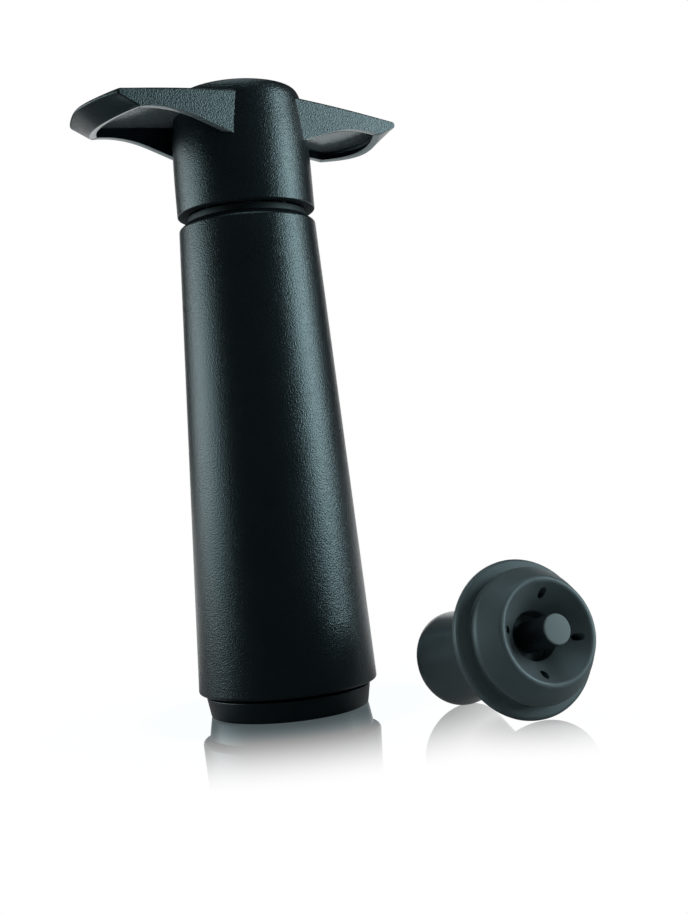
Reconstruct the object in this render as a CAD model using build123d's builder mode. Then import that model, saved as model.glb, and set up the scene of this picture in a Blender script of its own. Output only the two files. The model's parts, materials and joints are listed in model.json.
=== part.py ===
from build123d import *
import os
from math import asin, atan2, cos, hypot, radians, sin, sqrt

# Wine vacuum pump with its bottle stopper.
# The pump stands on its base ring, its axis is Z and its wings lie along X.
# The stopper lies on its side in front of the pump. All lengths are in millimetres.
os.makedirs("parts", exist_ok=True)

# Clearances
running_gap = 0.05  # a shaft in a bore, a ring in the tube
slip_gap = 0.1  # pieces pushed together that stay
seat_gap = 0.3  # soft pieces and faces that meet at a stop
overrun = 3.0  # how far a cut runs past what it cuts

# Stopper, along its own axis from the back of the flange, and outwards from the knob
knob_radius = 3.45
knob_edge_rounding = 0.35
knob_proud = 3.2  # how far the knob stands over the dish's rim
knob_lift = 1.0
knob_neck_inset = 0.9
ball_inset = 0.3
ball_level = 1.0
ball_depth = 1.0
recess_gap = 2.1
recess_lip_width = 0.3
recess_lip_height = 0.3
dish_floor_width = 1.0
dish_width = 5.35
dish_depth = 5.15
dish_rim_width = 0.9
head_slope_width = 3.85
head_slope_height = 6.1
head_slope_bow = 0.35
disc_rounding = 0.7
disc_height = 2.0
crease_undercut = 1.05
crease_rise = 0.7
flange_step = 1.95
flange_thickness = 2.5
flange_back_rounding = 1.1
flange_front_rounding = 0.7
slot_length = 2.6
slot_width = 1.65
slot_depth = 3.4
slot_inset = 3.0
slot_count = 4
slot_turn = -13.0  # how far the slots are turned about the axis, in degrees
stem_length = 28.7
stem_end_flare = 2.3
stem_end_rounding = 2.2
stem_waist_radius = 8.9
stem_waist_level = 9.0
stem_root_flare = 0.7
stem_wall = 2.7
stem_bore_flare = 1.2
web_level = 4.0
channel_radius = 2.4

# Base ring and the socket for the stopper's head
head_clearance = 0.65
base_height = 5.2
base_wall = 3.4
base_flare = 0.9
base_edge_rounding = 0.5
base_neck_wall = 1.4
shadow_gap = 0.75
socket_depth = 4.8
seal_height = 2.2
seal_width = 3.2
seal_groove_depth = 0.8
head_room_inset = 2.5
head_room_height = 3.9
collar_height = 6.6
collar_wall = 2.6
snap_flange_height = 2.0
base_ring_radius = 0.6
base_ring_level = 1.6
base_rib_count = 6
base_rib_thickness = 1.6

# Pump tube
tube_bore_radius = 13.1
tube_wall = 1.5
tube_skirt = 2.1
tube_floor = 2.0
inlet_radius = 4.6
inlet_lip_height = 0.6
inlet_lip_width = 1.2

# Neck cap, rod bush, wiper and buffer
neck_show = 2.0
neck_step = 0.4
cap_height_below_mouth = 5.95
cap_shoulder_width = 0.25
cap_shoulder_drop = 0.5
cap_plug_length = 5.0
bush_length = 8.5
bush_wall = 1.6
wiper_height = 2.4
wiper_wall = 2.3
wiper_lip = 0.7
vent_radius = 0.8
vent_count = 4
buffer_height = 1.5

# Grip sleeve, the tapered casing
sleeve_height = 118.0
sleeve_overhang = 1.8
sleeve_shoulder_width = 2.35
sleeve_chamfer_height = 1.5
sleeve_chamfer_width = 1.9
sleeve_wall = 2.0
sleeve_lip_height = 1.6
sleeve_edge_rounding = 0.8

# Piston and rod
rod_radius = 8.0
rod_wall = 1.8
piston_rest_gap = 0.6
piston_clearance = 0.4
piston_floor = 2.8
piston_rim = 1.6
swivel_width = 1.6
cage_seat_width = 2.6
chamber_height = 4.2
cage_height = 1.8
cage_slot_radius = 1.1
cage_slot_inset = 1.7
cage_slot_count = 6
seal_groove_level = 1.2
seal_groove_height = 3.0
piston_seal_depth = 1.8
guide_groove_gap = 4.4
guide_groove_height = 3.0
guide_groove_depth = 1.2
guide_slit = 1.2
ring_edge = 0.5
port_radius = 0.8
port_inset = 2.2
port_count = 6
side_vent_radius = 0.8
side_vent_count = 4
end_plug_flange_height = 2.0
end_plug_length = 9.5
end_plug_chamfer = 1.0
retainer_height = 3.0
retainer_notch_count = 4
retainer_notch_width = 2.4
retainer_notch_depth = 0.9

# Exhaust valve
valve_clearance = 1.2
valve_thickness = 1.4
valve_pin_radius = 1.2
valve_lift = 1.2
spring_wire_radius = 0.18
spring_inset = 1.3
spring_turns = 3

# Handle
handle_height = 30.6
stem_overhang = 0.15
stem_straight_share = 0.376
stem_bow_share = 0.637
stem_bow_inset = 0.4
stem_taper = 1.05
crown_height = 5.2
crown_bow_inset = 1.15
crown_bow_drop = 1.75
crown_inset = 4.15
crown_rise = 0.4
crown_thickness = 6.6
stem_side_wall = 2.9
stem_edge_rounding = 0.5
boss_wall = 2.6
boss_recess = 1.5
boss_rib_count = 4
boss_rib_thickness = 1.6
boss_rib_recess = 6.0
rod_socket_roof = 2.0
pin_radius = 1.5
pin_height_share = 0.64
pin_recess = 0.4

# Wings of the handle, given for one of the two, with drops from the top of the handle
wing_reach = 43.3
wing_inset = 3.5
wing_root_drop = 3.35
wing_mid_drop = 4.8
wing_shoulder_drop = 7.2
wing_shoulder_setback = 2.6
wing_tip_drop = 10.0
wing_edge_root_drop = 17.77
wing_arch_drop = 11.6
wing_arch_share = 0.44
wing_rim_drop = 12.8
wing_rim_setback = 1.8
nose_radius = 26.3
nose_slant = 5.0  # how far the nose leans out over nose_rise of height
nose_rise = 3.0
wing_wall = 1.9
wing_roof = 2.0
nose_wall = 1.5
wing_edge_rounding = 0.9

# Where the stopper lies, from the pump's axis, and which way its axis points
stopper_x = 22.0
stopper_y = -63.1
stopper_heading = -98.8

# Radii of the stopper, each standing on the one inside it
recess_radius = knob_radius + recess_gap
recess_lip_radius = recess_radius + recess_lip_width
dish_floor_radius = recess_radius + dish_floor_width
dish_rim_radius = dish_floor_radius + dish_width
disc_radius = dish_rim_radius + head_slope_width
crease_radius = disc_radius - crease_undercut
flange_radius = disc_radius + flange_step
slot_circle_radius = dish_rim_radius - slot_inset
stem_end_radius = stem_waist_radius + stem_end_flare
stem_root_radius = stem_waist_radius + stem_root_flare
stem_bore_radius = stem_waist_radius - stem_wall
stem_bore_end_radius = stem_bore_radius + stem_bore_flare
ball_radius = knob_radius - ball_inset
knob_neck_radius = knob_radius - knob_neck_inset

# Levels along the stopper
crease_level = flange_thickness + crease_rise
disc_level = crease_level + disc_height
dish_rim_level = disc_level + head_slope_height
dish_floor_level = dish_rim_level - dish_depth
recess_lip_level = dish_floor_level + recess_lip_height
recess_floor_level = ball_level + ball_depth
knob_level = recess_floor_level + knob_lift
knob_top_level = dish_rim_level + knob_proud

# Radii of the pump, from the parts that fit in each other
socket_radius = disc_radius + head_clearance
seal_groove_wall_radius = socket_radius + seal_groove_depth
head_room_radius = socket_radius - head_room_inset
base_foot_radius = socket_radius + base_wall
base_neck_radius = seal_groove_wall_radius + base_neck_wall
sleeve_foot_radius = base_foot_radius + base_flare + sleeve_overhang
tube_radius = tube_bore_radius + tube_wall
neck_radius = tube_radius + neck_step
sleeve_shoulder_radius = neck_radius + sleeve_shoulder_width
bush_radius = rod_radius + running_gap + bush_wall
wiper_radius = rod_radius + running_gap + wiper_wall
plug_radius = tube_bore_radius - running_gap
vent_circle_radius = (wiper_radius + plug_radius) / 2
piston_radius = tube_bore_radius - piston_clearance
seal_groove_radius = piston_radius - piston_seal_depth
guide_groove_radius = piston_radius - guide_groove_depth
cup_radius = rod_radius + swivel_width
chamber_radius = cup_radius - cage_seat_width
valve_radius = chamber_radius - valve_clearance
port_circle_radius = valve_radius - port_inset
cage_slot_circle_radius = chamber_radius - cage_slot_inset
spring_radius = valve_pin_radius + spring_inset
rod_bore_radius = rod_radius - rod_wall
stem_radius = sleeve_shoulder_radius + stem_overhang
stem_bow_radius = stem_radius - stem_bow_inset
stem_shoulder_radius = stem_radius - stem_taper
crown_bow_radius = stem_shoulder_radius - crown_bow_inset
crown_radius = stem_shoulder_radius - crown_inset
stem_hollow_radius = stem_radius - stem_side_wall
boss_radius = rod_radius + boss_wall
wing_half_width = stem_radius - wing_inset

# Heights on the pump, from the parts that stand on each other
sleeve_foot_z = base_height + shadow_gap
sleeve_top_z = sleeve_foot_z + sleeve_height
sleeve_shoulder_z = sleeve_top_z - sleeve_chamfer_height
sleeve_lip_z = sleeve_foot_z + sleeve_lip_height
handle_foot_z = sleeve_top_z + neck_show
handle_top_z = handle_foot_z + handle_height
neck_top_z = handle_foot_z - seat_gap
seal_top_z = socket_depth + seal_height
tube_seat_z = seal_top_z + head_room_height
tube_floor_z = tube_seat_z + tube_skirt
tube_floor_top_z = tube_floor_z + tube_floor
tube_top_z = sleeve_top_z - cap_height_below_mouth
plug_foot_z = tube_top_z - cap_plug_length
buffer_foot_z = plug_foot_z - buffer_height
wiper_foot_z = neck_top_z - wiper_height - seat_gap
piston_foot_z = tube_floor_top_z + piston_rest_gap
valve_seat_z = piston_foot_z + piston_floor
cage_foot_z = valve_seat_z + chamber_height
cage_top_z = cage_foot_z + cage_height
end_plug_foot_z = cage_top_z + slip_gap
rod_foot_z = end_plug_foot_z + end_plug_flange_height
retainer_foot_z = rod_foot_z + slip_gap
retainer_top_z = retainer_foot_z + retainer_height
piston_top_z = retainer_top_z + piston_rim
hollow_top_z = handle_top_z - crown_thickness
rod_top_z = hollow_top_z - rod_socket_roof
pin_z = handle_foot_z + (rod_top_z - handle_foot_z) * pin_height_share
piston_stroke = buffer_foot_z - seat_gap - piston_top_z


def outline(*points):
    # A closed outline of radius and height, upright on the pump's axis
    with BuildSketch(Plane.XZ) as shape:
        with BuildLine():
            Polyline(*points, close=True)
        make_face()
    return shape.sketch


def band(inner, outer, low, high):
    # A rectangle of radius and height, which turned round the axis gives a ring
    return outline((inner, low), (outer, low), (outer, high), (inner, high))


def sleeve_radius(z):
    share = (z - sleeve_foot_z) / (sleeve_shoulder_z - sleeve_foot_z)
    return sleeve_foot_radius + share * (sleeve_shoulder_radius - sleeve_foot_radius)


# Grip sleeve: a straight taper with a chamfered mouth round the neck
# and an inward lip at its foot that snaps over the base
mouth_radius = neck_radius + slip_gap
mouth_foot_z = sleeve_shoulder_z - cap_shoulder_drop
lip_radius = base_neck_radius + slip_gap
with BuildPart() as grip_sleeve:
    revolve(
        outline(
            (sleeve_foot_radius, sleeve_foot_z),
            (sleeve_shoulder_radius, sleeve_shoulder_z),
            (sleeve_shoulder_radius - sleeve_chamfer_width, sleeve_top_z),
            (mouth_radius, sleeve_top_z),
            (mouth_radius, mouth_foot_z),
            (sleeve_radius(mouth_foot_z) - sleeve_wall, mouth_foot_z),
            (sleeve_radius(sleeve_lip_z) - sleeve_wall, sleeve_lip_z),
            (lip_radius, sleeve_lip_z),
            (lip_radius, sleeve_foot_z),
        ),
        axis=Axis.Z,
    )
    rims = grip_sleeve.edges().filter_by(GeomType.CIRCLE)
    fillet(rims.group_by(Axis.Z)[0].sort_by(SortBy.RADIUS)[-1], sleeve_edge_rounding)
grip_sleeve.part.label = "grip_sleeve"
export_step(grip_sleeve.part, "parts/grip_sleeve.step")

# Base socket: the conical ring that shows, the neck in the shadow gap, the flange
# that the sleeve snaps over and the collar that the pump tube stands in
collar_bore_radius = tube_radius + running_gap
collar_radius = collar_bore_radius + collar_wall
collar_top_z = tube_seat_z + collar_height
flange_top_z = sleeve_lip_z + snap_flange_height
snap_flange_radius = sleeve_radius(flange_top_z) - sleeve_wall - slip_gap
ring_groove_foot_z = tube_seat_z + base_ring_level
ring_groove_top_z = ring_groove_foot_z + 2 * (base_ring_radius + running_gap)
ring_groove_radius_low = tube_radius + 2 * (base_ring_radius + running_gap)
rib_inner_radius = collar_radius - collar_wall / 4
rib_outer_radius = snap_flange_radius - base_rib_thickness / 2
with BuildPart() as base_socket:
    revolve(
        outline(
            (socket_radius, 0),
            (base_foot_radius, 0),
            (base_foot_radius + base_flare, base_height),
            (base_neck_radius, base_height),
            (base_neck_radius, sleeve_lip_z),
            (snap_flange_radius, sleeve_lip_z),
            (snap_flange_radius, flange_top_z),
            (collar_radius, flange_top_z),
            (collar_radius, collar_top_z),
            (collar_bore_radius, collar_top_z),
            (collar_bore_radius, ring_groove_top_z),
            (ring_groove_radius_low, ring_groove_top_z),
            (ring_groove_radius_low, ring_groove_foot_z),
            (collar_bore_radius, ring_groove_foot_z),
            (collar_bore_radius, tube_seat_z),
            (head_room_radius, tube_seat_z),
            (head_room_radius, seal_top_z),
            (seal_groove_wall_radius, seal_top_z),
            (seal_groove_wall_radius, socket_depth),
            (socket_radius, socket_depth),
        ),
        axis=Axis.Z,
    )
    foot_rims = base_socket.edges().filter_by(GeomType.CIRCLE).group_by(Axis.Z)[0]
    fillet(foot_rims.sort_by(SortBy.RADIUS)[-1], base_edge_rounding)
    with BuildSketch(Plane.XY.offset(flange_top_z)):
        with PolarLocations((rib_inner_radius + rib_outer_radius) / 2, base_rib_count):
            Rectangle(rib_outer_radius - rib_inner_radius, base_rib_thickness)
    extrude(amount=(collar_top_z - flange_top_z) / 2)
base_socket.part.label = "base_socket"
export_step(base_socket.part, "parts/base_socket.step")

# Soft ring in the socket's groove, with a lip that bends onto the stopper
seal_radius = seal_groove_wall_radius - running_gap
seal_inner_radius = seal_radius - seal_width
seal_foot_z = socket_depth + running_gap
seal_head_z = seal_top_z - running_gap
with BuildPart() as socket_seal:
    revolve(
        outline(
            (seal_radius, seal_foot_z),
            (seal_radius, seal_head_z),
            (seal_inner_radius + seal_height / 4, seal_head_z),
            (seal_inner_radius, seal_foot_z + seal_height / 3),
            (seal_inner_radius + seal_height / 4, seal_foot_z),
            (seal_radius - seal_width / 2, seal_foot_z + seal_height / 4),
            (seal_radius - seal_width / 4, seal_foot_z),
        ),
        axis=Axis.Z,
    )
socket_seal.part.label = "socket_seal"
export_step(socket_seal.part, "parts/socket_seal.step")

# Round ring that seals the foot of the tube in the collar
with BuildPart() as tube_seal_ring:
    with BuildSketch(Plane.XZ):
        with Locations((tube_radius + running_gap + base_ring_radius,
                        ring_groove_foot_z + running_gap + base_ring_radius)):
            Circle(base_ring_radius)
    revolve(axis=Axis.Z)
tube_seal_ring.part.label = "tube_seal_ring"
export_step(tube_seal_ring.part, "parts/tube_seal_ring.step")

# Pump tube: a smooth bore with a floor that has the inlet port and its raised lip,
# over a skirt that stands in the base
with BuildPart() as cylinder_tube:
    revolve(
        outline(
            (tube_bore_radius, tube_seat_z),
            (tube_radius, tube_seat_z),
            (tube_radius, tube_top_z),
            (tube_bore_radius, tube_top_z),
            (tube_bore_radius, tube_floor_top_z),
            (inlet_radius, tube_floor_top_z),
            (inlet_radius, tube_floor_z - inlet_lip_height),
            (inlet_radius + inlet_lip_width, tube_floor_z - inlet_lip_height),
            (inlet_radius + inlet_lip_width, tube_floor_z),
            (tube_bore_radius, tube_floor_z),
        ),
        axis=Axis.Z,
    )
cylinder_tube.part.label = "cylinder_tube"
export_step(cylinder_tube.part, "parts/cylinder_tube.step")

# Neck cap: plugs the tube, holds the bush and the wiper and carries the sleeve's mouth
cap_shoulder_radius = neck_radius + cap_shoulder_width
cap_shoulder_z = mouth_foot_z - slip_gap
bush_top_z = plug_foot_z + bush_length
cap_passage_radius = rod_radius + seat_gap
with BuildPart() as cylinder_cap:
    revolve(
        outline(
            (bush_radius, plug_foot_z),
            (plug_radius, plug_foot_z),
            (plug_radius, tube_top_z),
            (cap_shoulder_radius, tube_top_z),
            (cap_shoulder_radius, cap_shoulder_z),
            (neck_radius, cap_shoulder_z),
            (neck_radius, neck_top_z),
            (wiper_radius, neck_top_z),
            (wiper_radius, wiper_foot_z),
            (cap_passage_radius, wiper_foot_z),
            (cap_passage_radius, bush_top_z),
            (bush_radius, bush_top_z),
        ),
        axis=Axis.Z,
    )
    with BuildSketch(Plane.XY.offset(plug_foot_z - overrun)):
        with PolarLocations(vent_circle_radius, vent_count):
            Circle(vent_radius)
    extrude(amount=neck_top_z - plug_foot_z + 2 * overrun, mode=Mode.SUBTRACT)
cylinder_cap.part.label = "cylinder_cap"
export_step(cylinder_cap.part, "parts/cylinder_cap.step")

# Bush that guides the rod
with BuildPart() as rod_bush:
    revolve(
        band(rod_radius + running_gap, bush_radius - running_gap, plug_foot_z, bush_top_z),
        axis=Axis.Z,
    )
    chamfer(rod_bush.edges().filter_by(GeomType.CIRCLE).sort_by(SortBy.RADIUS)[:2],
            bush_wall / 4)
rod_bush.part.label = "rod_bush"
export_step(rod_bush.part, "parts/rod_bush.step")

# Soft ring in the top of the neck that wipes the rod
wiper_top_z = wiper_foot_z + wiper_height
with BuildPart() as rod_wiper:
    revolve(
        outline(
            (rod_radius + running_gap, wiper_foot_z + wiper_lip),
            (rod_radius + running_gap, wiper_foot_z + 2 * wiper_lip),
            (rod_radius + wiper_wall / 3, wiper_top_z - wiper_lip),
            (rod_radius + wiper_wall / 2, wiper_top_z),
            (wiper_radius - running_gap, wiper_top_z),
            (wiper_radius - running_gap, wiper_foot_z),
            (cap_passage_radius + wiper_lip / 2, wiper_foot_z),
        ),
        axis=Axis.Z,
    )
rod_wiper.part.label = "rod_wiper"
export_step(rod_wiper.part, "parts/rod_wiper.step")

# Rubber washer under the cap that the piston meets at the top of its stroke
with BuildPart() as top_buffer:
    revolve(
        band(rod_radius + seat_gap, piston_radius, buffer_foot_z, plug_foot_z),
        axis=Axis.Z,
    )
    with BuildSketch(Plane.XY.offset(buffer_foot_z - overrun)):
        with PolarLocations(vent_circle_radius, vent_count):
            Circle(vent_radius)
    extrude(amount=buffer_height + 2 * overrun, mode=Mode.SUBTRACT)
top_buffer.part.label = "top_buffer"
export_step(top_buffer.part, "parts/top_buffer.step")

# Piston head: grooves for the seal and the guide ring outside, and inside it the
# valve chamber under the cup that the rod turns in
seal_groove_z = piston_foot_z + seal_groove_level
guide_groove_z = seal_groove_z + seal_groove_height + guide_groove_gap
side_vent_z = (seal_groove_z + seal_groove_height + cage_foot_z) / 2
with BuildPart() as piston_head:
    revolve(
        outline(
            (0, piston_foot_z),
            (piston_radius, piston_foot_z),
            (piston_radius, seal_groove_z),
            (seal_groove_radius, seal_groove_z),
            (seal_groove_radius, seal_groove_z + seal_groove_height),
            (piston_radius, seal_groove_z + seal_groove_height),
            (piston_radius, guide_groove_z),
            (guide_groove_radius, guide_groove_z),
            (guide_groove_radius, guide_groove_z + guide_groove_height),
            (piston_radius, guide_groove_z + guide_groove_height),
            (piston_radius, piston_top_z),
            (cup_radius, piston_top_z),
            (cup_radius, cage_foot_z),
            (chamber_radius, cage_foot_z),
            (chamber_radius, valve_seat_z),
            (0, valve_seat_z),
        ),
        axis=Axis.Z,
    )
    with BuildSketch(Plane.XY.offset(piston_foot_z - overrun)):
        with PolarLocations(port_circle_radius, port_count):
            Circle(port_radius)
    extrude(amount=piston_floor + 2 * overrun, mode=Mode.SUBTRACT)
    for turn in range(side_vent_count):
        vent_side = Plane.XZ.rotated((0, 0, turn * 360 / side_vent_count))
        with BuildSketch(vent_side):
            with Locations((0, side_vent_z)):
                Circle(side_vent_radius)
        extrude(amount=piston_radius + overrun, mode=Mode.SUBTRACT)
piston_head.part.label = "piston_head"
export_step(piston_head.part, "parts/piston_head.step")

# Piston seal: a soft ring with a wide lip that bears on the tube
seal_low_z = seal_groove_z + slip_gap
seal_high_z = seal_groove_z + seal_groove_height - slip_gap
with BuildPart() as piston_seal:
    revolve(
        outline(
            (seal_groove_radius + running_gap, seal_low_z),
            (piston_radius - ring_edge, seal_low_z),
            (tube_bore_radius - running_gap, seal_low_z + ring_edge),
            (tube_bore_radius - running_gap, seal_high_z - ring_edge),
            (piston_radius - ring_edge, seal_high_z),
            (seal_groove_radius + running_gap, seal_high_z),
        ),
        axis=Axis.Z,
    )
piston_seal.part.label = "piston_seal"
export_step(piston_seal.part, "parts/piston_seal.step")

# Guide ring: a split ring that keeps the piston straight in the tube
with BuildPart() as guide_ring:
    revolve(
        band(
            guide_groove_radius + running_gap,
            tube_bore_radius - slip_gap,
            guide_groove_z + slip_gap,
            guide_groove_z + guide_groove_height - slip_gap,
        ),
        axis=Axis.Z,
    )
    with BuildSketch(Plane.XY.offset(guide_groove_z)):
        with Locations((guide_groove_radius, 0)):
            Rectangle(2 * (tube_bore_radius - guide_groove_radius) + overrun, guide_slit)
    extrude(amount=guide_groove_height, mode=Mode.SUBTRACT)
guide_ring.part.label = "guide_ring"
export_step(guide_ring.part, "parts/guide_ring.step")

# Valve cage: a slotted plate over the valve, with the hole that guides the valve's pin
with BuildPart() as valve_cage:
    revolve(
        band(valve_pin_radius + running_gap, cup_radius - slip_gap, cage_foot_z, cage_top_z),
        axis=Axis.Z,
    )
    with BuildSketch(Plane.XY.offset(cage_foot_z - overrun)):
        with PolarLocations(cage_slot_circle_radius, cage_slot_count):
            Circle(cage_slot_radius)
    extrude(amount=cage_height + 2 * overrun, mode=Mode.SUBTRACT)
valve_cage.part.label = "valve_cage"
export_step(valve_cage.part, "parts/valve_cage.step")

# Swivel retainer: the notched ring pressed into the cup over the rod's flange
with BuildPart() as swivel_retainer:
    revolve(
        band(rod_radius + slip_gap, cup_radius - running_gap, retainer_foot_z, retainer_top_z),
        axis=Axis.Z,
    )
    with BuildSketch(Plane.XY.offset(retainer_foot_z - overrun)):
        with PolarLocations(cup_radius, retainer_notch_count):
            Rectangle(2 * retainer_notch_depth, retainer_notch_width)
    extrude(amount=retainer_height + 2 * overrun, mode=Mode.SUBTRACT)
swivel_retainer.part.label = "swivel_retainer"
export_step(swivel_retainer.part, "parts/swivel_retainer.step")

# Exhaust valve: a plate on a guide pin that covers the ports in the piston's floor
valve_foot_z = valve_seat_z + running_gap
valve_top_z = valve_foot_z + valve_thickness
valve_pin_top_z = end_plug_foot_z - valve_lift - slip_gap
with BuildPart() as valve_disc:
    revolve(
        outline(
            (0, valve_foot_z),
            (valve_radius, valve_foot_z),
            (valve_radius, valve_top_z),
            (valve_pin_radius, valve_top_z),
            (valve_pin_radius, valve_pin_top_z),
            (0, valve_pin_top_z),
        ),
        axis=Axis.Z,
    )
valve_disc.part.label = "valve_disc"
export_step(valve_disc.part, "parts/valve_disc.step")

# Valve spring: a swept coil between the plate and the cage
spring_foot_z = valve_top_z + spring_wire_radius
spring_top_z = cage_foot_z - spring_wire_radius
spring_pitch = (spring_top_z - spring_foot_z) / spring_turns
with BuildPart() as valve_spring:
    with BuildLine(Plane.XY.offset(spring_foot_z)) as coil:
        Helix(pitch=spring_pitch, height=spring_top_z - spring_foot_z, radius=spring_radius)
    with BuildSketch(coil.line ^ 0):
        Circle(spring_wire_radius)
    sweep(is_frenet=True)
valve_spring.part.label = "valve_spring"
export_step(valve_spring.part, "parts/valve_spring.step")
coil_gap = spring_pitch - 2 * spring_wire_radius
print(f"valve spring: least gap between turns {coil_gap:.2f} mm")

# Piston rod: a tube from the piston's swivel up into the handle
with BuildPart() as piston_rod:
    revolve(band(rod_bore_radius, rod_radius, rod_foot_z, rod_top_z), axis=Axis.Z)
    with BuildSketch(Plane.XZ):
        with Locations((0, pin_z)):
            Circle(pin_radius + running_gap)
    extrude(amount=rod_radius + overrun, both=True, mode=Mode.SUBTRACT)
    chamfer(piston_rod.edges().filter_by(GeomType.CIRCLE).group_by(Axis.Z)[-1], rod_wall / 4)
piston_rod.part.label = "piston_rod"
export_step(piston_rod.part, "parts/piston_rod.step")

# Rod end plug: pressed into the rod's foot, with the flange that turns in the cup
with BuildPart() as rod_end_plug:
    revolve(
        outline(
            (0, end_plug_foot_z),
            (cup_radius - slip_gap, end_plug_foot_z),
            (cup_radius - slip_gap, rod_foot_z),
            (rod_bore_radius - running_gap, rod_foot_z),
            (rod_bore_radius - running_gap, end_plug_foot_z + end_plug_length),
            (0, end_plug_foot_z + end_plug_length),
        ),
        axis=Axis.Z,
    )
    chamfer(rod_end_plug.edges().filter_by(GeomType.CIRCLE).group_by(Axis.Z)[-1],
            end_plug_chamfer)
rod_end_plug.part.label = "rod_end_plug"
export_step(rod_end_plug.part, "parts/rod_end_plug.step")

# Cross pin that holds the rod in the handle
with BuildPart() as cross_pin:
    with BuildSketch(Plane.XZ):
        with Locations((0, pin_z)):
            Circle(pin_radius)
    extrude(amount=boss_radius - pin_recess, both=True)
    chamfer(cross_pin.edges().filter_by(GeomType.CIRCLE), pin_radius / 4)
cross_pin.part.label = "cross_pin"
export_step(cross_pin.part, "parts/cross_pin.step")


def wing_block(inset, tip_inset, roof, drop, rounding):
    # One wing towards +X as a solid: the side outline at the wing's width, cut by the
    # round nose, a cylinder that leans out from the rim to the roof
    with BuildPart() as block:
        with BuildSketch(Plane.XZ):
            with BuildLine():
                shoulder_x = wing_reach - wing_shoulder_setback
                top = ThreePointArc(
                    (0, handle_top_z - wing_root_drop - roof),
                    (shoulder_x / 2, handle_top_z - wing_mid_drop - roof),
                    (shoulder_x, handle_top_z - wing_shoulder_drop - roof),
                )
                brow = TangentArc(
                    top @ 1,
                    (wing_reach + nose_rise / 4, handle_top_z - wing_tip_drop - roof),
                    tangent=top % 1,
                )
                slope = Line(
                    (0, handle_top_z - wing_edge_root_drop - drop),
                    (wing_reach * wing_arch_share, handle_top_z - wing_arch_drop - drop),
                )
                arch = TangentArc(
                    slope @ 1,
                    (wing_reach - wing_rim_setback, handle_top_z - wing_rim_drop - drop),
                    tangent=slope % 1,
                )
                chin = Line(brow @ 1, (brow @ 1) + (brow % 1) * nose_rise)
                Line(arch @ 1, chin @ 1)
                Line(top @ 0, slope @ 0)
            make_face()
        extrude(amount=wing_half_width - inset, both=True)
        if rounding:
            for side in (block.faces().sort_by(Axis.Y)[0], block.faces().sort_by(Axis.Y)[-1]):
                roof_edge = side.edges().filter_by(GeomType.CIRCLE).sort_by(Axis.Z)[-1]
                fillet(roof_edge, rounding)
        nose_plane = Plane(
            origin=(wing_reach, 0, handle_top_z - wing_tip_drop),
            x_dir=(nose_rise, 0, -nose_slant),
            z_dir=(nose_slant, 0, nose_rise),
        )
        with BuildSketch(nose_plane):
            with Locations((-nose_radius, 0)):
                Circle(nose_radius - tip_inset)
        extrude(amount=wing_reach + nose_radius, both=True, mode=Mode.INTERSECT)
    return block


# Handle: the domed stem with its inner boss, and two hollow wings open underneath
wing = wing_block(0, 0, 0, 0, wing_edge_rounding)
wing_hollow = wing_block(wing_wall, nose_wall, wing_roof, wing_rim_drop, 0)
with BuildPart() as handle_shell:
    add(wing.part)
    add(wing_hollow.part, mode=Mode.SUBTRACT)
    mirror(about=Plane.YZ)
    with BuildSketch(Plane.XZ):
        with BuildLine():
            foot = Line((0, handle_foot_z), (stem_radius, handle_foot_z))
            side = Line(
                foot @ 1, (stem_radius, handle_foot_z + handle_height * stem_straight_share)
            )
            bow = ThreePointArc(
                side @ 1,
                (stem_bow_radius, handle_foot_z + handle_height * stem_bow_share),
                (stem_shoulder_radius, handle_top_z - crown_height),
            )
            shoulder = ThreePointArc(
                bow @ 1,
                (crown_bow_radius, handle_top_z - crown_bow_drop),
                (crown_radius, handle_top_z - crown_rise),
            )
            TangentArc((0, handle_top_z), shoulder @ 1, tangent=(1, 0))
            Line((0, handle_top_z), foot @ 0)
        make_face()
    revolve(axis=Axis.Z)
    stem_rims = handle_shell.edges().filter_by(GeomType.CIRCLE)
    fillet(stem_rims.group_by(Axis.Z)[0], stem_edge_rounding)
    revolve(
        outline(
            (0, handle_foot_z - overrun),
            (stem_hollow_radius, handle_foot_z - overrun),
            (stem_hollow_radius, hollow_top_z),
            (boss_radius, hollow_top_z),
            (boss_radius, handle_foot_z + boss_recess),
            (0, handle_foot_z + boss_recess),
        ),
        axis=Axis.Z,
        mode=Mode.SUBTRACT,
    )
    with BuildSketch(Plane.XY.offset(handle_foot_z + boss_rib_recess)):
        with PolarLocations((boss_radius + stem_hollow_radius) / 2, boss_rib_count,
                            start_angle=180 / boss_rib_count):
            Rectangle(stem_hollow_radius - boss_radius + boss_rib_thickness,
                      boss_rib_thickness)
    extrude(amount=hollow_top_z - handle_foot_z - boss_rib_recess)
    revolve(
        band(0, rod_radius + running_gap, handle_foot_z, rod_top_z + slip_gap),
        axis=Axis.Z,
        mode=Mode.SUBTRACT,
    )
    with BuildSketch(Plane.XZ):
        with Locations((0, pin_z)):
            Circle(pin_radius + running_gap)
    extrude(amount=boss_radius, both=True, mode=Mode.SUBTRACT)
handle_shell.part.label = "handle_shell"
export_step(handle_shell.part, "parts/handle_shell.step")

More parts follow.
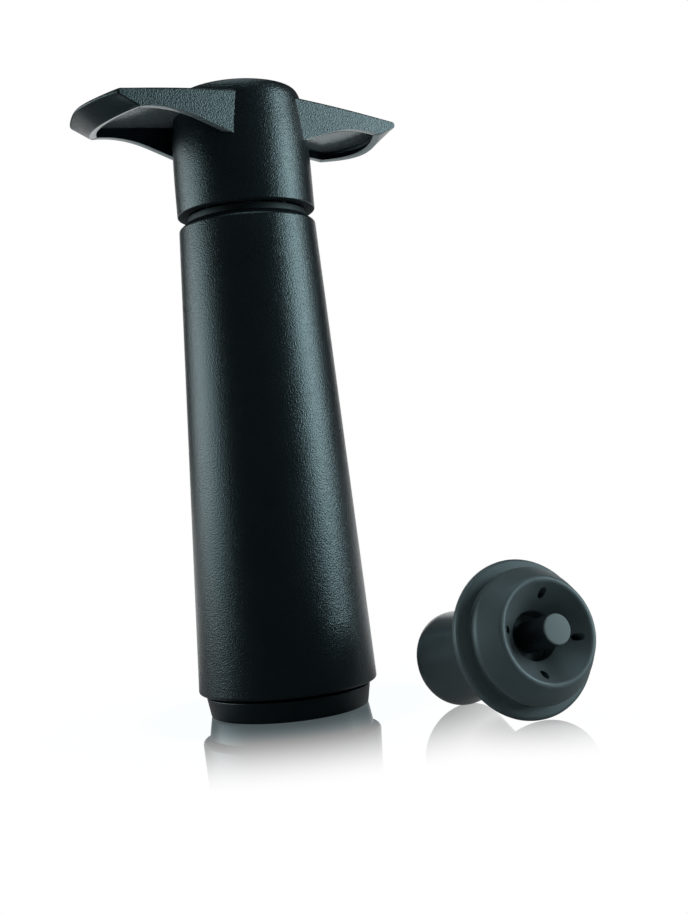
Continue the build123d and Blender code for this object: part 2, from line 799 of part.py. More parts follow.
# The stopper lies with the back edge of its flange and the lip of its stem on the table,
# so its lean follows from those two rounded edges
edge_rise = (flange_radius - flange_back_rounding) - (stem_end_radius - stem_end_rounding)
edge_run = flange_back_rounding + stem_length - stem_end_rounding
lean_angle = atan2(edge_rise, edge_run) + asin(
    (flange_back_rounding - stem_end_rounding) / hypot(edge_rise, edge_run)
)
heading = radians(stopper_heading)
stopper_z = (
    flange_back_rounding
    + (flange_radius - flange_back_rounding) * cos(lean_angle)
    - flange_back_rounding * sin(lean_angle)
)
stopper_centre = Vector(stopper_x, stopper_y, stopper_z)
stopper_axis = Vector(
    cos(lean_angle) * cos(heading), cos(lean_angle) * sin(heading), sin(lean_angle)
)
stopper_up = Vector(
    -sin(lean_angle) * cos(heading), -sin(lean_angle) * sin(heading), cos(lean_angle)
)
stopper_face = Plane(origin=stopper_centre, x_dir=stopper_up, z_dir=stopper_axis)
stopper_side = Plane(
    origin=stopper_centre, x_dir=stopper_up, z_dir=stopper_up.cross(stopper_axis)
)
stopper_line = Axis(stopper_centre, stopper_axis)

# Stopper body: the hollow stem that goes into the bottle, the flange that lies on its
# mouth, the stepped head that the pump sits on and the dish with its four slots
seat_radius = ball_radius + slip_gap
seat_mouth_radius = sqrt(seat_radius**2 - (recess_floor_level - ball_level) ** 2)
channel_level = ball_level - sqrt(seat_radius**2 - channel_radius**2)
with BuildPart() as stopper_body:
    with BuildSketch(stopper_side):
        with BuildLine():
            bore = Polyline(
                (channel_radius, channel_level),
                (channel_radius, -web_level),
                (stem_bore_radius, -web_level),
                (stem_bore_end_radius, -stem_length),
                (stem_end_radius - stem_end_rounding, -stem_length),
            )
            lip = JernArc(bore @ 1, (1, 0), stem_end_rounding, 125)
            waist = Spline(
                lip @ 1,
                (stem_waist_radius, -stem_waist_level),
                (stem_root_radius, 0),
                tangents=[lip % 1, (1, 3)],
            )
            back = Line(waist @ 1, (flange_radius - flange_back_rounding, 0))
            back_edge = JernArc(back @ 1, (1, 0), flange_back_rounding, 90)
            front_edge_radius = flange_radius - flange_front_rounding
            rim = Line(back_edge @ 1, (flange_radius, flange_thickness - flange_front_rounding))
            rim_edge = JernArc(rim @ 1, (0, 1), flange_front_rounding, 90)
            ledge = ThreePointArc(
                rim_edge @ 1,
                ((front_edge_radius + crease_radius) / 2, flange_thickness + slip_gap),
                (crease_radius, crease_level),
            )
            step = Line(ledge @ 1, (disc_radius, disc_level))
            disc_edge = JernArc(step @ 1, (0, 1), disc_rounding, 70)
            slope = ThreePointArc(
                disc_edge @ 1,
                (
                    ((disc_edge @ 1).X + dish_rim_radius) / 2 + head_slope_bow,
                    ((disc_edge @ 1).Y + dish_rim_level) / 2 + head_slope_bow,
                ),
                (dish_rim_radius, dish_rim_level - dish_rim_width / 2),
            )
            dish_rim = ThreePointArc(
                slope @ 1,
                (dish_rim_radius - dish_rim_width / 2, dish_rim_level),
                (dish_rim_radius - dish_rim_width, dish_rim_level - dish_rim_width / 2),
            )
            dish = Polyline(
                dish_rim @ 1,
                (dish_floor_radius, dish_floor_level),
                (recess_lip_radius, recess_lip_level),
                (recess_radius, dish_floor_level),
                (recess_radius, recess_floor_level),
                (seat_mouth_radius, recess_floor_level),
            )
            ball_seat = ThreePointArc(
                dish @ 1,
                (seat_radius, ball_level),
                (channel_radius, channel_level),
            )
        make_face()
    revolve(axis=stopper_line)
    with BuildSketch(stopper_face.offset(dish_rim_level)):
        with PolarLocations(slot_circle_radius, slot_count, start_angle=slot_turn):
            SlotOverall(slot_length, slot_width)
    extrude(
        amount=-(dish_depth / 2 + slot_depth),
        mode=Mode.SUBTRACT,
    )
stopper_body.part.label = "stopper_body"
export_step(stopper_body.part, "parts/stopper_body.step")

# Stopper knob: the release knob on a ball that rocks in the recess
neck_ball_level = ball_level + sqrt(ball_radius**2 - knob_neck_radius**2)
with BuildPart() as stopper_knob:
    with BuildSketch(stopper_side):
        with BuildLine():
            ball = ThreePointArc(
                (0, ball_level - ball_radius),
                (ball_radius, ball_level),
                (knob_neck_radius, neck_ball_level),
            )
            body = Polyline(
                ball @ 1,
                (knob_neck_radius, knob_level),
                (knob_radius, knob_level),
                (knob_radius, knob_top_level),
                (0, knob_top_level),
                ball @ 0,
            )
        make_face()
    revolve(axis=stopper_line)
    top_rim = stopper_knob.edges().filter_by(GeomType.CIRCLE).sort_by(stopper_line)[-1]
    fillet(top_rim, knob_edge_rounding)
stopper_knob.part.label = "stopper_knob"
export_step(stopper_knob.part, "parts/stopper_knob.step")

knob_pivot = stopper_centre + stopper_axis * ball_level
knob_hinge_axis = stopper_up.cross(stopper_axis)
print(f"piston stroke {piston_stroke:.2f} mm")
print(f"valve spring fixed end at {cage_foot_z:.3f} mm")
print(f"stopper centre {stopper_centre}, axis {stopper_axis}")
print(f"knob pivot {knob_pivot}, hinge axis {knob_hinge_axis}")
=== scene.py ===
import json
import math

import bmesh
import bpy
from mathutils import Matrix, Vector


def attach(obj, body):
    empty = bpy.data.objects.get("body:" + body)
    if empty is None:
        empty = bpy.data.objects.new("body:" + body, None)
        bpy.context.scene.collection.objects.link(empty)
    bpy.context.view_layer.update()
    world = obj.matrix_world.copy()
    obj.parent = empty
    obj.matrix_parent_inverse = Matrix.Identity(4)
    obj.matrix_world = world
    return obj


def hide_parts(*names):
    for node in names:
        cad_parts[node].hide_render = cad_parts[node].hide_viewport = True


# Wine vacuum pump with the rubber stopper that lies in front of it.
# Sizes are in millimetres, and each mesh is scaled to metres once it is built.
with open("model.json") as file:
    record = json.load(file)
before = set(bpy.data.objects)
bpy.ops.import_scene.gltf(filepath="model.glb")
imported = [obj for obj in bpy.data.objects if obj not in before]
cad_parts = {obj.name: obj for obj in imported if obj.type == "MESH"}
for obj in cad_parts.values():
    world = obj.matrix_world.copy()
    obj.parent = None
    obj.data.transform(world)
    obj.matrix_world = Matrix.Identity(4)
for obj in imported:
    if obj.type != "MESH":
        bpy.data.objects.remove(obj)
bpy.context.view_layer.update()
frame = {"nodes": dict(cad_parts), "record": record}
nodes = frame["nodes"]
scene = bpy.context.scene
mm = 0.001
fullTurn = 2 * math.pi
touching = 1e-5  # points nearer than this are one point
print("frame loaded,", len(nodes), "nodes")


# Shader maths as plain expressions
class Wire:
    def __init__(self, finish, socket):
        self.finish = finish
        self.socket = socket

    def maths(self, operation, *values):
        return self.finish.node(
            "ShaderNodeMath", {"operation": operation}, dict(enumerate(values)))

    def __add__(self, other):
        return self.maths("ADD", self, other)

    def __radd__(self, other):
        return self.maths("ADD", other, self)

    def __sub__(self, other):
        return self.maths("SUBTRACT", self, other)

    def __rsub__(self, other):
        return self.maths("SUBTRACT", other, self)

    def __mul__(self, other):
        return self.maths("MULTIPLY", self, other)

    def __rmul__(self, other):
        return self.maths("MULTIPLY", other, self)

    def __truediv__(self, other):
        return self.maths("DIVIDE", self, other)

    def __rtruediv__(self, other):
        return self.maths("DIVIDE", other, self)


# One node tree, a material's or the world's
class Finish:
    def __init__(self, owner):
        owner.use_nodes = True
        self.owner = owner
        self.tree = owner.node_tree
        self.tree.nodes.clear()

    def node(self, kind, settings=None, inputs=None, output=0):
        made = self.tree.nodes.new(kind)
        for key, value in (settings or {}).items():
            setattr(made, key, value)
        for key, value in (inputs or {}).items():
            if isinstance(value, Wire):
                self.tree.links.new(value.socket, made.inputs[key])
            else:
                made.inputs[key].default_value = value
        if made.outputs:
            return Wire(self, made.outputs[output])

    def place(self):
        return self.node("ShaderNodeTexCoord", output="Object")

    def part(self, vector, axis):
        return self.node("ShaderNodeSeparateXYZ", {}, {0: vector}, output=axis)

    def measure(self, operation, *vectors):
        return self.node("ShaderNodeVectorMath", {"operation": operation},
                         dict(enumerate(vectors)), output="Value")

    def ramp(self, value, start, end, low=0.0, high=1.0, curve="LINEAR"):
        # low up to start, high from end
        return self.node("ShaderNodeMapRange", {"interpolation_type": curve}, {
            "Value": value, "From Min": start, "From Max": end, "To Min": low, "To Max": high})

    def noise(self, grain, detail=2.0):
        return self.node("ShaderNodeTexNoise", {}, {
            "Vector": self.place(), "Scale": 1 / (grain * mm), "Detail": detail})

    def between(self, share, first, second):
        # a colour is a wire or three numbers
        first, second = (tone if isinstance(tone, Wire) else (*tone, 1)
                         for tone in (first, second))
        return self.node("ShaderNodeMix", {"data_type": "RGBA"}, {
            0: share, 6: first, 7: second}, output=2)

    def bump(self, height, depth):
        return self.node("ShaderNodeBump", {}, {"Height": height, "Distance": depth * mm})

    def shade(self, inputs):
        surface = self.node("ShaderNodeBsdfPrincipled", {}, inputs)
        self.node("ShaderNodeOutputMaterial", {}, {"Surface": surface})
        return self.owner


def newFinish(name):
    return Finish(bpy.data.materials.new(name))


coolShine = (0.54, 0.90, 0.97, 1)  # reflections on the plastic and the rubber are a little cool

# blotch and grain are the sizes of the noises, depth is the bump's
# hollow is the pale colour of the wings' ceilings, painted light from the floor below
texturedPlastic = {
    "dark": (0.003, 0.005, 0.007), "light": (0.006, 0.009, 0.012), "hollow": (0.11, 0.14, 0.15),
    "blotch": 9.0, "grain": 0.34, "depth": 0.10, "shine": 0.65,
    "gloss": 0.25, "glossSpread": 0.08, "polish": 0.14, "footMatt": 0.6, "grainLoss": 0.75,
    "downFrom": 0.85, "downTo": 0.97, "wingsFrom": 0.130, "wingsTo": 0.134}


def makeTexturedPlastic(size):
    finish = newFinish("texturedPlastic")
    cloud = finish.noise(size["blotch"], 3.0)
    spark = finish.noise(size["grain"], 1.0)
    facing = finish.node("ShaderNodeNewGeometry", output="Normal")
    # faces that look down are smoother inside the wings and matt at the handle's foot; inside the
    # wings they are also painted pale, as painted light thrown up from the floor
    down = finish.ramp(0.0 - finish.part(facing, "Z"), size["downFrom"], size["downTo"])
    wings = finish.ramp(finish.part(finish.place(), "Z"), size["wingsFrom"], size["wingsTo"])
    under = down * wings
    foot = down * (1.0 - wings)
    return finish.shade({
        "Base Color": finish.between(
            under, finish.between(cloud, size["dark"], size["light"]), size["hollow"]),
        "Roughness": size["gloss"] + size["glossSpread"] * cloud
        - size["polish"] * under + size["footMatt"] * foot,
        "Specular IOR Level": size["shine"],
        "Specular Tint": coolShine,
        "Normal": finish.bump(spark * (1.0 - size["grainLoss"] * under), size["depth"])})


smoothPlastic = {
    "dark": (0.004, 0.006, 0.008), "light": (0.008, 0.011, 0.014), "blotch": 6.0,
    "grain": 0.6, "depth": 0.003, "gloss": 0.30, "glossSpread": 0.10}
greyPlastic = {
    "dark": (0.24, 0.25, 0.26), "light": (0.30, 0.31, 0.32), "blotch": 7.0,
    "grain": 0.5, "depth": 0.004, "gloss": 0.38, "glossSpread": 0.12}
blackRubber = {
    "dark": (0.006, 0.007, 0.008), "light": (0.012, 0.013, 0.014), "blotch": 3.0,
    "grain": 0.25, "depth": 0.010, "gloss": 0.62, "glossSpread": 0.16}
slateRubber = {
    "dark": (0.052, 0.074, 0.082), "light": (0.070, 0.097, 0.105), "blotch": 4.0,
    "grain": 0.35, "depth": 0.008, "gloss": 0.38, "glossSpread": 0.12,
    "polish": 0.22, "polishFrom": -0.061, "polishTo": -0.056}
# the neck's plastic is darker than the smooth plastic, painted shade for the recess between the
# sleeve and the handle; its higher roughness is the finish
neckShadedPlastic = {
    "dark": (0.002, 0.003, 0.004), "light": (0.004, 0.006, 0.008), "blotch": 5.0,
    "grain": 0.5, "depth": 0.006, "gloss": 0.55, "glossSpread": 0.10}


def makeMoulded(name, size):
    finish = newFinish(name)
    cloud = finish.noise(size["blotch"], 4.0)
    gloss = size["gloss"] + size["glossSpread"] * cloud
    if "polish" in size:
        # the stopper's stem is moulded smoother than its head
        stem = finish.ramp(finish.part(finish.place(), "Y"), size["polishFrom"], size["polishTo"])
        gloss = gloss - size["polish"] * stem
    return finish.shade({
        "Base Color": finish.between(cloud, size["dark"], size["light"]),
        "Roughness": gloss,
        "Specular Tint": coolShine,
        "Normal": finish.bump(finish.noise(size["grain"]), size["depth"])})


steelWire = {
    "dark": (0.46, 0.46, 0.48), "light": (0.62, 0.62, 0.64), "blotch": 0.8, "depth": 0.002,
    "gloss": 0.22, "glossSpread": 0.16}


def makeSteel(size):
    finish = newFinish("drawnSteel")
    streak = finish.noise(size["blotch"], 4.0)
    return finish.shade({
        "Base Color": finish.between(streak, size["dark"], size["light"]),
        "Metallic": 1.0,
        "Roughness": size["gloss"] + size["glossSpread"] * streak,
        "Normal": finish.bump(streak, size["depth"])})


finishes = {
    "textured_plastic": makeTexturedPlastic(texturedPlastic),
    "smooth_plastic": makeMoulded("smoothPlastic", smoothPlastic),
    "grey_plastic": makeMoulded("greyPlastic", greyPlastic),
    "black_rubber": makeMoulded("blackRubber", blackRubber),
    "slate_rubber": makeMoulded("slateRubber", slateRubber),
    "steel": makeSteel(steelWire)}
# the neck's own finish, darker as painted shade in the gap under the handle
neckShadedFinish = makeMoulded("neckShadedPlastic", neckShadedPlastic)
slotOf = {row["node"]: row["material_slot"] for row in frame["record"]["subparts"]}
for name, solid in nodes.items():
    if not solid.material_slots:
        solid.data.materials.append(None)
    for holder in solid.material_slots:
        holder.material = finishes[slotOf[name]]
print("materials made")


# Mesh tools
def section(mesh, corners, steps=6):
    # a closed section of radius, height and rounding, upright on the axis
    ring = [mesh.verts.new((radius, 0, height)) for radius, height, rounding in corners]
    mesh.faces.new(ring)
    for corner, (radius, height, rounding) in zip(ring, corners):
        if rounding:
            bmesh.ops.bevel(mesh, geom=[corner], offset=rounding, offset_type="OFFSET",
                            segments=steps, profile=0.5, affect="VERTICES", material=-1)


def turnRound(mesh, steps=192):
    # turns a section about the axis into a closed shell
    bmesh.ops.delete(mesh, geom=mesh.faces[:], context="FACES_ONLY")
    onAxis = [line for line in mesh.edges if max(abs(vert.co.x) for vert in line.verts) < touching]
    bmesh.ops.delete(mesh, geom=onAxis, context="EDGES")
    bmesh.ops.spin(mesh, geom=mesh.verts[:] + mesh.edges[:], cent=(0, 0, 0), axis=(0, 0, 1),
                   dvec=(0, 0, 0), angle=fullTurn, steps=steps, use_merge=True)
    bmesh.ops.remove_doubles(mesh, verts=mesh.verts[:], dist=10 * touching)
    bmesh.ops.recalc_face_normals(mesh, faces=mesh.faces[:])


def toObject(mesh, name, place=Matrix()):
    bmesh.ops.transform(mesh, matrix=place @ Matrix.Scale(mm, 4), verts=mesh.verts[:])
    data = bpy.data.meshes.new(name)
    mesh.to_mesh(data)
    mesh.free()
    made = bpy.data.objects.new(name, data)
    scene.collection.objects.link(made)
    return made


def combine(base, tool, operation):
    # one solid from two, kept as a plain mesh
    change = base.modifiers.new("combine", "BOOLEAN")
    change.object = tool
    change.operation = operation
    change.solver = "EXACT"
    depsgraph = bpy.context.evaluated_depsgraph_get()
    data = bpy.data.meshes.new_from_object(base.evaluated_get(depsgraph))
    base.modifiers.clear()
    base.data = data
    bpy.data.objects.remove(tool)


def dress(made, node, body, sharpAngle=32, flatArea=1000.0, finish=None):
    # the piece's shading, finish and place in the model; faces over flatArea stay flat
    data = made.data
    data.materials.clear()
    data.materials.append(finish or finishes[slotOf[node]])
    data.shade_smooth()
    data.set_sharp_from_angle(angle=math.radians(sharpAngle))
    for face in data.polygons:
        face.use_smooth = face.area < flatArea * mm * mm
    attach(made, body)
    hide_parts(node)


# Grip sleeve, the long tapered casing
sleeve = {
    "footRadius": 22.5, "shoulderRadius": 17.35, "footHeight": 5.95, "topHeight": 123.95,
    "chamferHeight": 1.5, "chamferWidth": 1.9, "mouthRadius": 15.1, "mouthDepth": 2.0,
    "lipRadius": 18.7, "lipHeight": 1.6, "wall": 2.0, "footRounding": 0.8, "edgeRounding": 0.2}


def makeSleeve(size):
    mesh = bmesh.new()
    shoulder = size["topHeight"] - size["chamferHeight"]
    mouthFoot = size["topHeight"] - size["mouthDepth"]
    lipTop = size["footHeight"] + size["lipHeight"]
    edge = size["edgeRounding"]
    section(mesh, [
        (size["footRadius"], size["footHeight"], size["footRounding"]),
        (size["shoulderRadius"], shoulder, edge * 2),
        (size["shoulderRadius"] - size["chamferWidth"], size["topHeight"], edge),
        (size["mouthRadius"], size["topHeight"], 0),
        (size["mouthRadius"], mouthFoot, 0),
        (size["shoulderRadius"] - size["wall"], mouthFoot, 0),
        (size["footRadius"] - size["wall"], lipTop, 0),
        (size["lipRadius"], lipTop, edge),
        (size["lipRadius"], size["footHeight"], edge)])
    turnRound(mesh, 256)
    dress(toObject(mesh, "gripSleeve"), "grip_sleeve", "barrel")


makeSleeve(sleeve)

# Base ring with the socket for the stopper's head
base = {
    "footRadius": 19.8, "topRadius": 20.7, "height": 5.2, "neckRadius": 18.6,
    "footRounding": 0.5, "topRounding": 0.35, "neckRounding": 0.2,
    "mouthRadius": 16.4, "mouthDepth": 4.8, "mouthRounding": 0.4, "mouthEndRounding": 0.2,
    "grooveRadius": 17.2, "grooveTop": 7.0, "grooveRounding": 0.3,
    "roomRadius": 13.9, "roomTop": 10.9,
    "flangeFoot": 7.55, "flangeTop": 9.55, "flangeRadius": 20.2,
    "collarRadius": 17.25, "collarTop": 17.5, "collarBore": 14.65}


def makeBase(size):
    mesh = bmesh.new()
    section(mesh, [
        (size["mouthRadius"], 0, size["mouthRounding"]),
        (size["footRadius"], 0, size["footRounding"]),
        (size["topRadius"], size["height"], size["topRounding"]),
        (size["neckRadius"], size["height"], size["neckRounding"]),
        (size["neckRadius"], size["flangeFoot"], 0),
        (size["flangeRadius"], size["flangeFoot"], 0),
        (size["flangeRadius"], size["flangeTop"], 0),
        (size["collarRadius"], size["flangeTop"], 0),
        (size["collarRadius"], size["collarTop"], 0),
        (size["collarBore"], size["collarTop"], 0),
        (size["collarBore"], size["roomTop"], 0),
        (size["roomRadius"], size["roomTop"], 0),
        (size["roomRadius"], size["grooveTop"], size["grooveRounding"]),
        (size["grooveRadius"], size["grooveTop"], 0),
        (size["grooveRadius"], size["mouthDepth"], 0),
        (size["mouthRadius"], size["mouthDepth"], size["mouthEndRounding"])])
    turnRound(mesh)
    dress(toObject(mesh, "baseRing"), "base_socket", "barrel")


makeBase(base)
print("sleeve and base made")

# Neck between the sleeve and the handle, with the rod's passage and its vents
neck = {
    "radius": 15.0, "top": 125.65, "topRounding": 0.3, "edgeRounding": 0.2,
    "shoulderRadius": 15.25, "shoulderTop": 121.85, "tubeTop": 118.0,
    "plugRadius": 13.05, "plugFoot": 113.0, "bushRadius": 9.65, "bushTop": 121.5,
    "passage": 8.3, "wiperFoot": 122.95, "wiperRadius": 10.35,
    "ventCircle": 11.7, "vent": 0.8, "ventLength": 40, "ventCount": 4}


def makeNeck(size):
    mesh = bmesh.new()
    section(mesh, [
        (size["wiperRadius"], size["top"], size["edgeRounding"]),
        (size["radius"], size["top"], size["topRounding"]),
        (size["radius"], size["shoulderTop"], 0),
        (size["shoulderRadius"], size["shoulderTop"], 0),
        (size["shoulderRadius"], size["tubeTop"], 0),
        (size["plugRadius"], size["tubeTop"], 0),
        (size["plugRadius"], size["plugFoot"], size["edgeRounding"]),
        (size["bushRadius"], size["plugFoot"], 0),
        (size["bushRadius"], size["bushTop"], 0),
        (size["passage"], size["bushTop"], 0),
        (size["passage"], size["wiperFoot"], 0),
        (size["wiperRadius"], size["wiperFoot"], 0)])
    turnRound(mesh)
    body = toObject(mesh, "neckCap")
    for count in range(size["ventCount"]):
        turn = fullTurn * count / size["ventCount"]
        vent = bmesh.new()
        bmesh.ops.create_cone(vent, cap_ends=True, segments=32, radius1=size["vent"],
                              radius2=size["vent"], depth=size["ventLength"])
        bmesh.ops.translate(vent, verts=vent.verts[:], vec=(
            math.cos(turn) * size["ventCircle"], math.sin(turn) * size["ventCircle"],
            size["tubeTop"]))
        combine(body, toObject(vent, "ventTool"), "DIFFERENCE")
    dress(body, "cylinder_cap", "barrel", finish=neckShadedFinish)


makeNeck(neck)
print("neck made")

# Stopper, made upright on its own axis from the back of its flange, then laid down.
# Its section is radius, level and rounding, from the stem's bore round to the dish.
stopper = {
    "centre": (22.0, -63.1, 17.2), "axis": (-0.14895, -0.96214, 0.22824),
    "section": [
        (0.0, -4.0, 0),
        (6.2, -4.0, 0.8),  # the web that closes the bore
        (7.4, -30.0, 0.6),
        (10.9, -30.0, 2.0),  # the stem's end lip
        (11.35, -27.1, 1.6),
        (8.9, -13.0, 7.0),  # waist
        (8.8, -7.0, 3.0),
        (9.6, 0, 0.8),
        (17.8, 0, 1.2),  # flange
        (17.8, 2.6, 0.8),
        (14.4, 2.7, 0.6),  # crease
        (15.5, 6.0, 0.9),  # disc
        (12.1, 11.3, 0.5),  # rim
        (11.0, 11.3, 0.4),
        (5.75, 5.75, 0),  # floor of the dish
        (5.55, 5.6, 0.1),
        (5.55, 1.5, 0.3),  # recess round the knob
        (0.0, 1.5, 0)],
    "slotCount": 4, "slotCircle": 8.9, "slotLength": 2.1, "slotWidth": 1.6, "slotTop": 11.3,
    "slotDepth": 6.0, "slotTurn": -13.0, "slotRounding": 0.49}
stopperAxis = Vector(stopper["axis"]).normalized()
stopperSide = Vector((0, 0, 1)).cross(stopperAxis).normalized()
stopperUp = stopperAxis.cross(stopperSide)
stopperPlace = Matrix((
    (stopperUp.x, -stopperSide.x, stopperAxis.x, stopper["centre"][0] * mm),
    (stopperUp.y, -stopperSide.y, stopperAxis.y, stopper["centre"][1] * mm),
    (stopperUp.z, -stopperSide.z, stopperAxis.z, stopper["centre"][2] * mm),
    (0, 0, 0, 1)))


def makeStopper(size):
    mesh = bmesh.new()
    section(mesh, size["section"], steps=8)
    turnRound(mesh)
    body = toObject(mesh, "stopperBody", stopperPlace)
    length, width, depth = size["slotLength"], size["slotWidth"], size["slotDepth"]
    for count in range(size["slotCount"]):
        slot = bmesh.new()
        bmesh.ops.create_cube(slot, size=1)
        bmesh.ops.scale(slot, vec=(length, width, depth), verts=slot.verts[:])
        uprights = [line for line in slot.edges
                    if abs(line.verts[0].co.z - line.verts[1].co.z) > depth / 2]
        bmesh.ops.bevel(slot, geom=uprights, offset=width * size["slotRounding"],
                        offset_type="OFFSET", segments=8, profile=0.5, affect="EDGES",
                        material=-1)
        turn = math.radians(size["slotTurn"] + 360 / size["slotCount"] * count)
        shift = Matrix.Translation((size["slotCircle"], 0, size["slotTop"] - depth / 2))
        bmesh.ops.transform(slot, matrix=Matrix.Rotation(turn, 4, "Z") @ shift,
                            verts=slot.verts[:])
        combine(body, toObject(slot, "slotTool", stopperPlace), "DIFFERENCE")
    dress(body, "stopper_body", "stopper", sharpAngle=28)


knob = {
    "radius": 3.45, "top": 14.5, "foot": 3.0, "neckRadius": 2.55, "neckFoot": 2.2,
    "topRounding": 0.45, "footRounding": 0.3, "neckRounding": 0.2,
    # side is painted shade on the knob's side, face is the face's paler colour
    "side": (0.010, 0.011, 0.012), "face": (0.118, 0.160, 0.168), "faceFrom": 0.3, "faceTo": 0.95,
    "gloss": 0.55, "glossSpread": 0.10, "grain": 0.35, "depth": 0.01}


def makeKnobFinish(size):
    # the knob's side is painted dark, as painted shade, and its bare face is paler
    finish = newFinish("knobRubber")
    facing = finish.node("ShaderNodeNewGeometry", output="Normal")
    outward = finish.measure("DOT_PRODUCT", facing, stopper["axis"])
    paintedShadeSplit = finish.ramp(outward, size["faceFrom"], size["faceTo"])
    skin = finish.noise(size["grain"])
    return finish.shade({
        "Base Color": finish.between(paintedShadeSplit, size["side"], size["face"]),
        "Roughness": size["gloss"] + size["glossSpread"] * skin,
        "Specular Tint": coolShine,
        "Normal": finish.bump(skin, size["depth"])})


def makeKnob(size):
    mesh = bmesh.new()
    section(mesh, [
        (0.0, size["neckFoot"], 0),
        (size["neckRadius"], size["neckFoot"], size["neckRounding"]),
        (size["neckRadius"], size["foot"], 0),
        (size["radius"], size["foot"], size["footRounding"]),
        (size["radius"], size["top"], size["topRounding"]),
        (0.0, size["top"], 0)])
    turnRound(mesh, 96)
    dress(toObject(mesh, "stopperKnob", stopperPlace), "stopper_knob", "release_knob",
          finish=makeKnobFinish(size))


makeStopper(stopper)
makeKnob(knob)
print("stopper made")

# Handle: the domed stem with its boss, as radius, height and rounding, and two wings that
# are open underneath
handle = {
    "top": 156.55,
    "section": [
        (0.0, 156.55, 0),
        (12.0, 156.35, 3.0),  # dome
        (16.2, 155.8, 3.2),
        (16.75, 149.05, 2.5),  # outside of the stem
        (17.25, 144.05, 3.0),
        (17.5, 137.45, 4.0),
        (17.5, 125.95, 0.25),  # foot
        (14.6, 125.95, 0.3),
        (14.6, 149.95, 0.8),  # hollow
        (10.6, 149.95, 0.6),
        (10.6, 127.45, 0.3),  # boss that holds the rod
        (8.05, 127.45, 0.2),
        (8.05, 148.05, 0),
        (0.0, 148.05, 0)]}
# A wing's x runs out from the pump's axis, and its drop down from the handle's top
wing = {
    "halfWidth": 14.0, "rootRadius": 15.2, "edgeRounding": 0.5,
    "rootDrop": 3.2, "slope": 0.0479, "curve": 0.001147,  # roof
    "creaseRounding": 0.15, "creaseFrom": 0.75,  # where the roof's edges sharpen to the nose
    "noseAt": 41.41, "noseDrop": 10.0, "noseSag": 5.38, "noseSquareness": 1.8, "sagWidth": 14.0,
    "noseRounding": 0.5, "cornerRounding": 0.9, "lean": 1.19, "cornerLean": 2.3, "cornerPower": 4,
    "archRootDrop": 17.77, "archSlope": 0.3239, "archAt": 19.05, "archCurve": 0.01681,
    "wall": 1.9, "roof": 2.0, "noseWall": 1.5, "innerRounding": 0.8, "rimRounding": 0.35,
    "roofRows": 30, "roundRows": 12, "faceRows": 5, "sideRows": 24, "edgeRows": 6,
    "bandWidth": 0.25, "archSteps": 28}


def makeStem(size):
    mesh = bmesh.new()
    section(mesh, size["section"], steps=8)
    turnRound(mesh, 256)
    return toObject(mesh, "handleShell")


def roofDrop(size, x):
    return size["rootDrop"] + size["slope"] * x + size["curve"] * x * x


def roofFall(size, x):
    return math.atan(size["slope"] + 2 * size["curve"] * x)


def archDrop(size, x):
    # the wing's lower edge: straight near the stem, arched towards the nose
    past = max(0.0, x - size["archAt"])
    return size["archRootDrop"] - size["archSlope"] * x + size["archCurve"] * past * past


def wingPoint(size, along, y):
    # a point of the wing's skin at y, the way out of it and its side edge's rounding: along
    # runs 0 to 1 over the roof, to 2 round the nose and to 3 down the nose's leaning face
    share = (y / size["halfWidth"]) ** size["cornerPower"]
    rounding = size["noseRounding"] + (size["cornerRounding"] - size["noseRounding"]) * share
    sag = size["noseSag"] * (y / size["sagWidth"]) ** size["noseSquareness"]
    slant = size["lean"] + (size["cornerLean"] - size["lean"]) * share
    lean = math.atan(slant)
    faceAt = size["noseAt"] - sag + slant * size["noseDrop"]
    startX = size["noseAt"] - size["noseDrop"] / 2
    for _ in range(16):
        # the rounding touches both the roof and the leaning face
        fall = roofFall(size, startX)
        centreX = startX - rounding * math.sin(fall)
        centreDrop = roofDrop(size, startX) + rounding * math.cos(fall)
        spare = (faceAt - centreX - slant * centreDrop) * math.cos(lean) - rounding
        startX += spare / math.cos(lean) / (1 + slant * math.tan(fall))
    if along <= 1:
        rootX = math.sqrt(size["rootRadius"] ** 2 - y * y)
        x = rootX + (startX - rootX) * along
        fall = roofFall(size, x)
        fade = max(0.0, (along - size["creaseFrom"]) / (1 - size["creaseFrom"])) ** 2
        edge = size["edgeRounding"] + (size["creaseRounding"] - size["edgeRounding"]) * fade
        return x, roofDrop(size, x), math.sin(fall), math.cos(fall), edge
    if along <= 2:
        angle = math.pi / 2 - fall - (along - 1) * (math.pi / 2 - fall + lean)
        return (centreX + rounding * math.cos(angle), centreDrop - rounding * math.sin(angle),
                math.cos(angle), math.sin(angle), size["creaseRounding"])
    endX = centreX + rounding * math.cos(lean)
    endDrop = centreDrop + rounding * math.sin(lean)
    drop = endDrop
    for _ in range(60):
        # small steps find where the leaning face meets the lower edge
        drop += 0.3 * (archDrop(size, endX - (drop - endDrop) * slant) - drop)
    drop = endDrop + (max(drop, endDrop + 0.1) - endDrop) * (along - 2)
    return (endX - (drop - endDrop) * slant, drop, math.cos(lean), -math.sin(lean),
            size["creaseRounding"])


